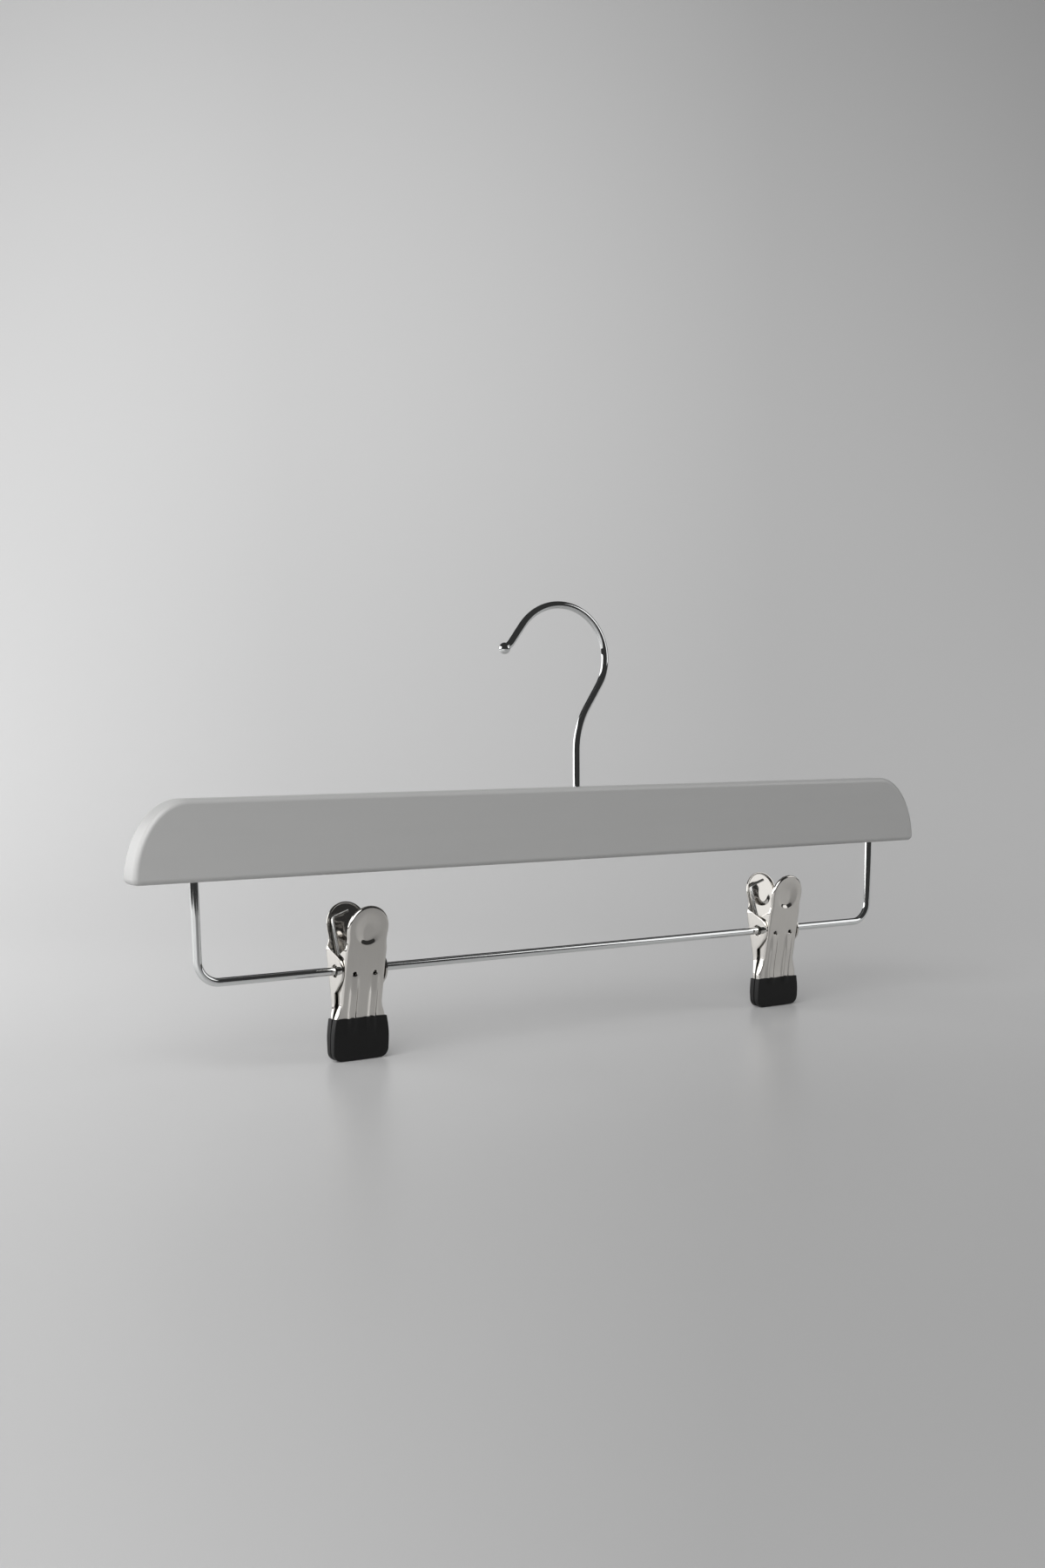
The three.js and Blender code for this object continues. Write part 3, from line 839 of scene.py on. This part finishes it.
# Operators, one for each piece or group of like pieces
class HANGER_OT_beam(Operator):
    """Model the painted beam with its rounded ends, shank hole, pocket and leg sockets"""

    bl_idname = "hanger.beam"
    bl_label = "Beam"
    bl_options = {"REGISTER", "UNDO"}

    def execute(self, context):
        sizes = context.scene.hanger_beam
        wires = context.scene.hanger_wires
        low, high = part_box("beam")
        bottom, top = low[2], high[2]
        squeeze = sizes.end_run / sizes.height
        end = sizes.length / 2 - sizes.end_run
        start = math.asin(sizes.corner / sizes.height)
        end_steps, corner_steps = 22, 9
        deselect()
        bpy.ops.mesh.primitive_plane_add(size=1, location=(0, 0, top))
        piece = named("beam_painted")
        bpy.ops.object.mode_set(mode="EDIT")
        select_all()
        bpy.ops.transform.resize(
            value=(2 * end / squeeze, sizes.thickness, 1), center_override=(0, 0, top),
        )
        for side in (-1, 1):
            choose(piece, "EDGE", lambda edge: all(
                side * vert.co.x > end / squeeze - MM and vert.co.z > top - MM for vert in edge.verts
            ))
            spin(end_steps, side * (math.pi / 2 - start), (side * end / squeeze, 0, bottom), Y)
        select_all()
        bpy.ops.transform.resize(value=(squeeze, 1, 1), center_override=(0, 0, 0))
        weld()
        corner = end + sizes.end_run * math.cos(start) - sizes.corner
        for side in (-1, 1):
            choose(piece, "EDGE", lambda edge: edge.is_boundary and all(
                side * vert.co.x > 0 and vert.co.z < bottom + sizes.corner + SLACK
                for vert in edge.verts
            ))
            spin(corner_steps, side * math.pi / 2, (side * corner, 0, bottom + sizes.corner), Y)
        weld()
        choose(piece, "VERT", lambda vert: vert.co.z < bottom + SLACK)
        bpy.ops.mesh.edge_face_add()
        for side in (-1, 1):
            choose(piece, "EDGE", lambda edge: all(side * vert.co.y > MM for vert in edge.verts))
            bpy.ops.mesh.edge_face_add()
        choose(piece, "EDGE", lambda edge: abs(edge.verts[0].co.y - edge.verts[1].co.y) < MM)
        bpy.ops.mesh.bevel(offset=sizes.edge, segments=6, affect="EDGES", clamp_overlap=False)
        face_out()
        below = bottom - sizes.height
        roof = bottom + sizes.pocket_depth
        cut_rod(piece, Z * below, Z * (top + MM), sizes.shank_hole)
        cut_rod(piece, Z * below, Z * roof, sizes.pocket, sides=48)
        for side in (-1, 1):
            foot = Vector((side * wires.legs / 2, 0, bottom))
            up = Vector((side * math.sin(wires.leg_lean), 0, math.cos(wires.leg_lean)))
            cut_rod(piece, foot - up * sizes.height, foot + up * sizes.socket_depth, sizes.socket)
        smooth_shade(piece, 35)
        modify(piece, "WEIGHTED_NORMAL", keep_sharp=True)
        handed_over(piece, "frame", "beam", "grey_paint")
        return {"FINISHED"}


class HANGER_OT_hook(Operator):
    """Model the hook: one wire drawn up from the beam, bent over and ended in a ball"""

    bl_idname = "hanger.hook"
    bl_label = "Hook"
    bl_options = {"REGISTER", "UNDO"}

    def execute(self, context):
        sizes = context.scene.hanger_wires
        low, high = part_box("beam")
        foot = low[2] + sizes.shank_recess
        across = Vector((math.cos(sizes.rest_turn), math.sin(sizes.rest_turn), 0))
        axis = Z.cross(across)
        wire = Wire("hook_chromed", (0, 0, foot), Z, sizes.hook / 2)
        wire.run(high[2] - foot)
        wire.run(sizes.shank)
        wire.bend(sizes.neck, sizes.lean, axis)
        wire.run(sizes.rise)
        wire.bend(sizes.crown, -sizes.wrap, axis)
        wire.run(sizes.fall)
        wire.bend(sizes.flick, sizes.flick_turn, axis)
        ball, thin = sizes.ball / 2, sizes.hook / 2
        wire.run(sizes.flick_run - math.sqrt(ball * ball - thin * thin))
        wire.ball(ball)
        handed_over(wire.capped(), "hook", "hook", "chrome_wire")
        return {"FINISHED"}


class HANGER_OT_fixing(Operator):
    """Model the washer and the nut that hold the hook's shank under the beam"""

    bl_idname = "hanger.fixing"
    bl_label = "Washer and Nut"
    bl_options = {"REGISTER", "UNDO"}

    def execute(self, context):
        sizes = context.scene.hanger_beam
        low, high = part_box("hook_washer")
        ease = 0.1 * MM
        hole = sizes.shank_hole
        washer = turned("washer_zinc", Vector(), Z, [
            (hole, low[2]), (sizes.washer - ease, low[2]), (sizes.washer, low[2] + ease),
            (sizes.washer, high[2] - ease), (sizes.washer - ease, high[2]), (hole, high[2]),
        ])
        handed_over(washer, "hook", "hook_washer", "zinc")
        low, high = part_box("hook_nut")
        deselect()
        bpy.ops.mesh.primitive_cylinder_add(
            vertices=6, radius=sizes.nut / math.sqrt(3), depth=high[2] - low[2],
            location=(0, 0, (low[2] + high[2]) / 2), rotation=(0, 0, math.pi / 6),
        )
        nut = named("nut_zinc")
        cut_rod(nut, Z * (low[2] - MM), Z * (high[2] + MM), hole)
        round_edges(nut, width=0.15 * MM, segments=2, degrees=50)
        smooth_shade(nut, 35)
        handed_over(nut, "hook", "hook_nut", "zinc")
        return {"FINISHED"}


class HANGER_OT_bar(Operator):
    """Model the bar: one wire bent to a wide U with its legs in the beam"""

    bl_idname = "hanger.bar"
    bl_label = "Bar"
    bl_options = {"REGISTER", "UNDO"}

    def execute(self, context):
        sizes = context.scene.hanger_wires
        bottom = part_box("beam")[0][2]
        down = Vector((math.sin(sizes.leg_lean), 0, -math.cos(sizes.leg_lean)))
        foot = Vector((-sizes.legs / 2, 0, bottom))
        sag = sizes.drop / math.cos(sizes.leg_lean)
        turn = math.pi / 2 - sizes.leg_lean
        setback = sizes.bar_corner * math.tan(turn / 2)
        corner = foot + down * sag
        wire = Wire("bar_chromed", foot - down * sizes.leg_depth, down, sizes.bar / 2)
        wire.run(sizes.leg_depth + sag - setback)
        wire.bend(sizes.bar_corner, turn, -Y)
        wire.run(-2 * (corner.x + setback))
        wire.bend(sizes.bar_corner, turn, -Y)
        wire.run(sizes.leg_depth + sag - setback)
        handed_over(wire.capped(), "frame", "bar_wire", "chrome_wire")
        return {"FINISHED"}


class HANGER_OT_pivots(Operator):
    """Model the pivot tubes that slide on the bar"""

    bl_idname = "hanger.pivots"
    bl_label = "Pivot Tubes"
    bl_options = {"REGISTER", "UNDO"}

    def execute(self, context):
        sizes = context.scene.hanger_clip
        (left, place), (right, other) = clip_centres(sizes)
        half, bore, tube = sizes.tube_half, sizes.tube_bore, sizes.tube
        ease = 0.08 * MM
        profile = [
            (bore, ease - half), (bore + ease, -half), (tube - ease, -half), (tube, ease - half),
            (tube, half - ease), (tube - ease, half), (bore + ease, half), (bore, half - ease),
        ]
        first = turned(f"{left}_pivot_plated", place, X, profile)
        second = copy_of(first, f"{right}_pivot_plated", other - place)
        handed_over(first, "left_slider", "left_pivot_tube", "nickel_sheet")
        handed_over(second, "right_slider", "right_pivot_tube", "nickel_sheet")
        return {"FINISHED"}


class HANGER_OT_jaws(Operator):
    """Model a rear and a front jaw from folded sheet and copy them to both clips"""

    bl_idname = "hanger.jaws"
    bl_label = "Jaws"
    bl_options = {"REGISTER", "UNDO"}

    def execute(self, context):
        sizes = context.scene.hanger_clip
        rear = jaw(sizes, "rear_jaw_pattern", sizes.rear_half, sizes.rear_lobe)
        front = jaw(sizes, "front_jaw_pattern", sizes.front_half, sizes.front_lobe)
        for side, place in clip_centres(sizes):
            piece = copy_of(rear, f"{side}_rear_jaw_plated", place)
            handed_over(piece, f"{side}_rear", f"{side}_rear_jaw", "nickel_sheet")
            piece = copy_of(front, f"{side}_front_jaw_plated", place, half_turn=True)
            handed_over(piece, f"{side}_front", f"{side}_front_jaw", "nickel_sheet")
        for pattern in (rear, front):
            pick(pattern)
            bpy.ops.object.delete()
        return {"FINISHED"}


class HANGER_OT_tips(Operator):
    """Model the black dipped tips of each clip's two jaws"""

    bl_idname = "hanger.tips"
    bl_label = "Dipped Tips"
    bl_options = {"REGISTER", "UNDO"}

    def execute(self, context):
        sizes = context.scene.hanger_clip
        for side, place in clip_centres(sizes):
            height = sizes.left_tip if side == "left" else sizes.right_tip
            rear = tip(sizes, f"{side}_rear_tip_dipped", sizes.rear_half, height)
            front = tip(sizes, f"{side}_front_tip_dipped", sizes.front_half, height)
            put(rear, place)
            put(front, place, half_turn=True)
            handed_over(rear, f"{side}_rear", f"{side}_rear_tip", "black_dip")
            handed_over(front, f"{side}_front", f"{side}_front_tip", "black_dip")
        return {"FINISHED"}


class HANGER_OT_springs(Operator):
    """Draw the torsion springs, which wind as the jaws open"""

    bl_idname = "hanger.springs"
    bl_label = "Springs"
    bl_options = {"REGISTER", "UNDO"}

    # Draw the torsion springs, coiled round the pivots
    def execute(self, context):
        sizes = context.scene.hanger_clip
        for side, place in clip_centres(sizes):
            piece = spring(sizes, f"{side}_spring_wound", place)
            handed_over(piece, None, f"{side}_spring", "spring_steel")
            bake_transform(piece)
        return {"FINISHED"}


class HANGER_OT_stage(Operator):
    """Set up the floor with its backdrop, the soft lights and the camera"""

    bl_idname = "hanger.stage"
    bl_label = "Stage"
    bl_options = {"REGISTER", "UNDO"}

    def execute(self, context):
        scene = context.scene
        settings = scene.hanger_stage
        self.cove(scene, settings)
        hanger, backdrop = (0, 0, -0.1), (0.88, 1.7, 0.5)
        soft = self.light(
            "left_soft", settings.left_light, hanger, place=(-0.92, -0.5, 0.64), width=1.3, height=1.3,
        )
        self.keep_off(soft, ("hook_chromed", "bar_chromed"))
        self.light(
            "back_panel", settings.back_light, hanger, place=(-1.08, 0.81, 0.25), width=1.7, height=0.8,
        )
        right = self.light(
            "right_panel", settings.right_light, hanger, place=(1.24, -0.81, 0.5), width=1.0, height=1.1,
        )
        self.keep_off(right, ("left_rear_jaw_plated", "left_front_jaw_plated"))
        drop = self.light(
            "backdrop_soft", settings.drop_light, backdrop, place=(-0.07, 0.78, 1.7), width=1.6, height=1,
        )
        drop.data.spread = math.radians(130)
        drop.visible_glossy = False
        world = bpy.data.worlds.new("dim_surround")
        world.use_nodes = True
        level = settings.world
        world.node_tree.nodes["Background"].inputs["Color"].default_value = (level, level, level, 1)
        scene.world = world
        self.camera(scene, settings)
        scene.view_settings.view_transform = "Standard"
        return {"FINISHED"}

    def cove(self, scene, settings):
        """A floor that curves up into a backdrop and widens with the camera's view."""
        deselect()
        near, far = -0.46, 0.35
        middle = (0, (near + far) / 2, settings.floor)
        width, curve, steepness, steps = 2, 2, math.radians(72), 48
        eye, least, widening = -0.66, 0.2, 0.55
        bpy.ops.mesh.primitive_plane_add(size=1, location=middle)
        piece = named("floor_and_backdrop")
        bpy.ops.object.mode_set(mode="EDIT")
        select_all()
        bpy.ops.transform.resize(value=(width, far - near, 1), center_override=middle)
        choose(piece, "EDGE", lambda edge: all(vert.co.y > far - MM for vert in edge.verts))
        spin(steps, steepness, (0, far, settings.floor + curve), X)
        select_all()
        bpy.ops.mesh.normals_make_consistent(inside=True)
        shaped(piece, lambda old: Vector((old.x * (least + widening * (old.y - eye)), old.y, old.z)))
        bpy.ops.object.mode_set(mode="OBJECT")
        piece.rotation_euler = (0, 0, -settings.yaw)
        bpy.ops.object.transform_apply()
        smooth_shade(piece, 30)
        piece.data.materials.append(self.floor_with_painted_light(scene.hanger_finishes, settings))

    def floor_with_painted_light(self, tones, settings):
        """Smooth pale board with painted light and shade: lighter at the left of the camera's view, darker
        at the right, and a backdrop painted lighter and darker across the view.
        """
        material = finish(
            "floor", tones.floor_painted_lit, stretch=(3, 3, 3), colour_spread=0.02,
            roughness=0.35, roughness_spread=0.05, bump=0,
        )
        tree = material.node_tree
        place = add_node(tree, "ShaderNodeTexCoord")
        away = add_node(
            tree, "ShaderNodeVectorMath", {0: place["Object"], 1: settings.camera}, operation="SUBTRACT",
        )
        turned_away = add_node(
            tree, "ShaderNodeVectorRotate", {"Vector": away["Vector"], "Angle": settings.yaw},
            rotation_type="Z_AXIS",
        )
        parts = add_node(tree, "ShaderNodeSeparateXYZ", {"Vector": turned_away["Vector"]})
        slope = add_node(tree, "ShaderNodeMath", {0: parts["X"], 1: parts["Y"]}, operation="DIVIDE")
        # Painted shade: the floor's colour darkens from left to right across the camera's view, in place
        # of the light's falloff
        share = add_node(
            tree, "ShaderNodeMapRange", {"Value": slope["Value"], "From Min": -0.3, "From Max": 0.12},
        )
        floor = add_node(
            tree, "ShaderNodeMix",
            {"Factor": share["Result"], "A": (*tones.floor_painted_lit, 1), "B": (*tones.floor_painted_shade, 1)},
            data_type="RGBA",
        )
        # Painted light on the backdrop: lighter at the left, a darker dip right of the middle and a lift
        # again at the far right
        across = add_node(
            tree, "ShaderNodeMapRange", {"Value": slope["Value"], "From Min": -0.45, "From Max": 0.45},
        )
        backdrop = tree.nodes.new("ShaderNodeValToRGB")
        painted_backdrop_light = backdrop.color_ramp.elements
        for step, level in ((0.17, 0.82), (0.35, 0.69), (0.66, 0.605), (0.83, 0.66)):
            painted_backdrop_light.new(step).color = (level, level, level, 1)
        painted_backdrop_light[0].color = (0.90, 0.90, 0.90, 1)
        painted_backdrop_light[-1].color = (0.74, 0.74, 0.74, 1)
        fill_inputs(tree, backdrop, {"Fac": across["Result"]})
        rise = add_node(
            tree, "ShaderNodeMapRange", {"Value": parts["Y"], "From Min": 0.25, "From Max": 0.9},
            interpolation_type="SMOOTHSTEP",
        )
        board = add_node(
            tree, "ShaderNodeMix",
            {"Factor": rise["Result"], "A": floor["Result"], "B": backdrop.outputs["Color"]},
            data_type="RGBA",
        )
        fill_inputs(tree, tree.nodes["Principled BSDF"], {"Base Color": board["Result"]})
        return material

    def light(self, name, watts, target, place, width, height):
        """A rectangular soft light that faces a target."""
        deselect()
        way = Vector(target) - Vector(place)
        facing = way.to_track_quat("-Z", "Y").to_euler()
        bpy.ops.object.light_add(type="AREA", location=place, rotation=facing)
        lamp = bpy.context.object
        lamp.name = lamp.data.name = name
        lamp.data.shape = "RECTANGLE"
        lamp.data.size = width
        lamp.data.size_y = height
        lamp.data.energy = watts
        return lamp

    def keep_off(self, lamp, names):
        """Leaves pieces out of what a lamp lights, so that it doesn't mirror in them."""
        apart = bpy.data.collections.new(f"{lamp.name}_keeps_off")
        for name in names:
            apart.objects.link(bpy.data.objects[name])
        for entry in apart.collection_objects:
            entry.light_linking.link_state = "EXCLUDE"
        lamp.light_linking.receiver_collection = apart

    def camera(self, scene, settings):
        """The camera, placed and turned as fitted to the photograph."""
        deselect()
        bpy.ops.object.camera_add()
        camera = bpy.context.object
        camera.name = camera.data.name = "photo_camera"
        camera.data.lens = settings.lens
        camera.data.sensor_width = 36
        camera.data.clip_start = 0.01
        yaw, pitch, roll = settings.yaw, settings.pitch, settings.roll
        ahead = Vector((
            math.sin(yaw) * math.cos(pitch), math.cos(yaw) * math.cos(pitch), -math.sin(pitch),
        ))
        level = Vector((math.cos(yaw), -math.sin(yaw), 0))
        upright = level.cross(ahead)
        right = level * math.cos(roll) + upright * math.sin(roll)
        up = upright * math.cos(roll) - level * math.sin(roll)
        facing = Matrix((right, up, -ahead)).transposed().to_4x4()
        camera.matrix_world = Matrix.Translation(settings.camera) @ facing
        scene.camera = camera


class HANGER_PT_panel(Panel):
    """Lists the pieces of the hanger with their sizes and finishes"""

    bl_label = "Clip Hanger"
    bl_idname = "HANGER_PT_panel"
    bl_space_type = "VIEW_3D"
    bl_region_type = "UI"
    bl_category = "Hanger"

    def draw(self, context):
        layout = self.layout
        for operator in OPERATORS:
            layout.operator(operator.bl_idname)
        for name, group in GROUPS.items():
            box = layout.box()
            box.label(text=group.__doc__)
            for size in group.__annotations__:
                box.prop(getattr(context.scene, name), size)


OPERATORS = (
    HANGER_OT_beam, HANGER_OT_hook, HANGER_OT_fixing, HANGER_OT_bar, HANGER_OT_pivots,
    HANGER_OT_jaws, HANGER_OT_tips, HANGER_OT_springs, HANGER_OT_stage,
)
GROUPS = {
    "hanger_beam": BeamSizes,
    "hanger_wires": WireSizes,
    "hanger_clip": ClipSizes,
    "hanger_finishes": Finishes,
    "hanger_stage": StageSettings,
}


def register():
    for name, group in GROUPS.items():
        bpy.utils.register_class(group)
        setattr(bpy.types.Scene, name, PointerProperty(type=group))
    for operator in OPERATORS:
        bpy.utils.register_class(operator)
    bpy.utils.register_class(HANGER_PT_panel)


def unregister():
    bpy.utils.unregister_class(HANGER_PT_panel)
    for operator in reversed(OPERATORS):
        bpy.utils.unregister_class(operator)
    for name, group in reversed(GROUPS.items()):
        delattr(bpy.types.Scene, name)
        bpy.utils.unregister_class(group)


def main():
    register()
    bpy.ops.hanger.beam()
    bpy.ops.hanger.hook()
    bpy.ops.hanger.fixing()
    bpy.ops.hanger.bar()
    bpy.ops.hanger.pivots()
    bpy.ops.hanger.jaws()
    bpy.ops.hanger.tips()
    bpy.ops.hanger.springs()
    bpy.ops.hanger.stage()
    deselect()


if __name__ == "__main__":
    main()
